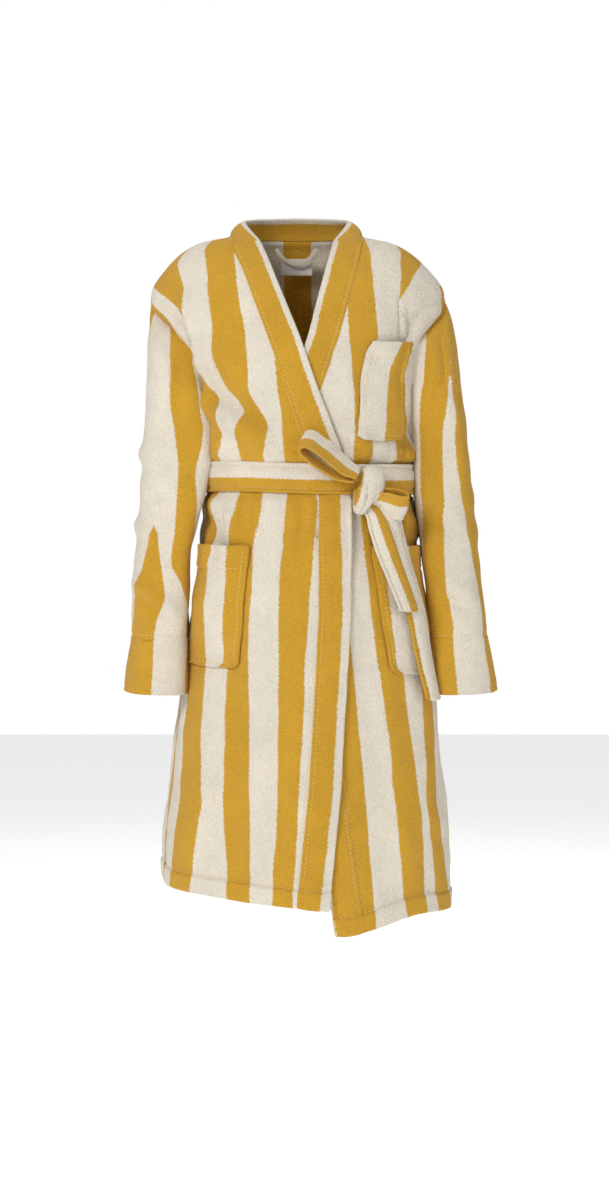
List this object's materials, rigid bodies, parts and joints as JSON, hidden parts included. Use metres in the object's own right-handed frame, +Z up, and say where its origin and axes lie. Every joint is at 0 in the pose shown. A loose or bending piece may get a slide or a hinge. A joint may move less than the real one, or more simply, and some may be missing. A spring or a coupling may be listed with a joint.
{
  "type": "bathrobe",
  "caption": "Knee-length wrap-front terry bathrobe in wide mustard and cream stripes, with long cuffed sleeves, patch pockets and a tied belt.",
  "frame": {"origin": "centre of the neck opening, at the height where the collar rests on the wearer's neck and shoulders", "axes": "+Z up, front faces -Y, wearer's left side at +X"},
  "size_m": [0.583, 0.3629, 1.1222],
  "materials": {
    "terry_mustard": "looped and sheared terry pile",
    "terry_cream": "looped and sheared terry pile",
    "cotton_tape": "woven cotton tape",
    "label_satin": "blank woven label"
  },
  "bodies": {
    "robe": {"back_panel": "terry_mustard", "right_front_panel": "terry_mustard", "right_front_band": "terry_mustard", "left_front_panel": "terry_cream", "left_front_band": "terry_mustard", "neck_band": "terry_mustard", "right_hip_pocket": "terry_mustard", "left_hip_pocket": "terry_mustard", "chest_pocket": "terry_cream", "belt_wrap": "terry_cream", "belt_knot": "terry_cream", "right_belt_loop": "cotton_tape", "left_belt_loop": "cotton_tape", "neck_label": "label_satin", "care_label": "label_satin"},
    "right_arm": {"right_sleeve": "terry_mustard", "right_cuff": "terry_cream"},
    "left_arm": {"left_sleeve": "terry_mustard", "left_cuff": "terry_cream"},
    "right_flap": {"right_front_flap": "terry_mustard", "right_flap_band": "terry_mustard"},
    "left_flap": {"left_front_flap": "terry_cream", "left_flap_band": "terry_mustard"},
    "long_tail": {"belt_tail_long": "terry_cream"},
    "short_tail": {"belt_tail_short": "terry_cream"},
    "bow": {"belt_bow_loop": "terry_mustard"},
    "hanger": {"hanger_loop": "cotton_tape"}
  },
  "joints": [
    {"name": "right_sleeve_lift", "type": "hinge", "parent": "robe", "child": "right_arm", "pos_m": [-0.24, 0.004, -0.112], "axis": [0, 1, 0], "range_deg": [0, 55]},
    {"name": "left_sleeve_lift", "type": "hinge", "parent": "robe", "child": "left_arm", "pos_m": [0.246, 0.01, -0.112], "axis": [0, -1, 0], "range_deg": [0, 55]},
    {"name": "right_flap_open", "type": "hinge", "parent": "robe", "child": "right_flap", "pos_m": [0.0765, -0.163, -0.425], "axis": [-0.3748, 0, -0.9271], "range_deg": [0, 36], "stiffness_Nm_per_rad": 0.05, "springref_deg": -22.92},
    {"name": "left_flap_open", "type": "hinge", "parent": "robe", "child": "left_flap", "pos_m": [0.208, -0.163, -1.07], "axis": [-0.4587, 0, 0.8886], "range_deg": [0, 16.2]},
    {"name": "long_tail_lift", "type": "hinge", "parent": "robe", "child": "long_tail", "pos_m": [0.131, -0.141, -0.45], "axis": [-0.809, -0.5878, 0], "range_deg": [0, 50]},
    {"name": "short_tail_lift", "type": "hinge", "parent": "long_tail", "child": "short_tail", "pos_m": [0.122, -0.145, -0.45], "axis": [-0.8746, -0.4848, 0], "range_deg": [0, 35]},
    {"name": "bow_flop", "type": "hinge", "parent": "robe", "child": "bow", "pos_m": [0.086, -0.15, -0.386], "axis": [0, 1, 0], "range_deg": [-10, 20], "stiffness_Nm_per_rad": 0.3},
    {"name": "hanger_loop_flip", "type": "hinge", "parent": "robe", "child": "hanger", "pos_m": [-0.006, 0.0595, -0.02], "axis": [-1, 0, 0], "range_deg": [0, 120]}
  ],
  "couplings": [
    {"joint": "left_flap_open", "follows": "right_flap_open", "ratio": 0.45}
  ]
}
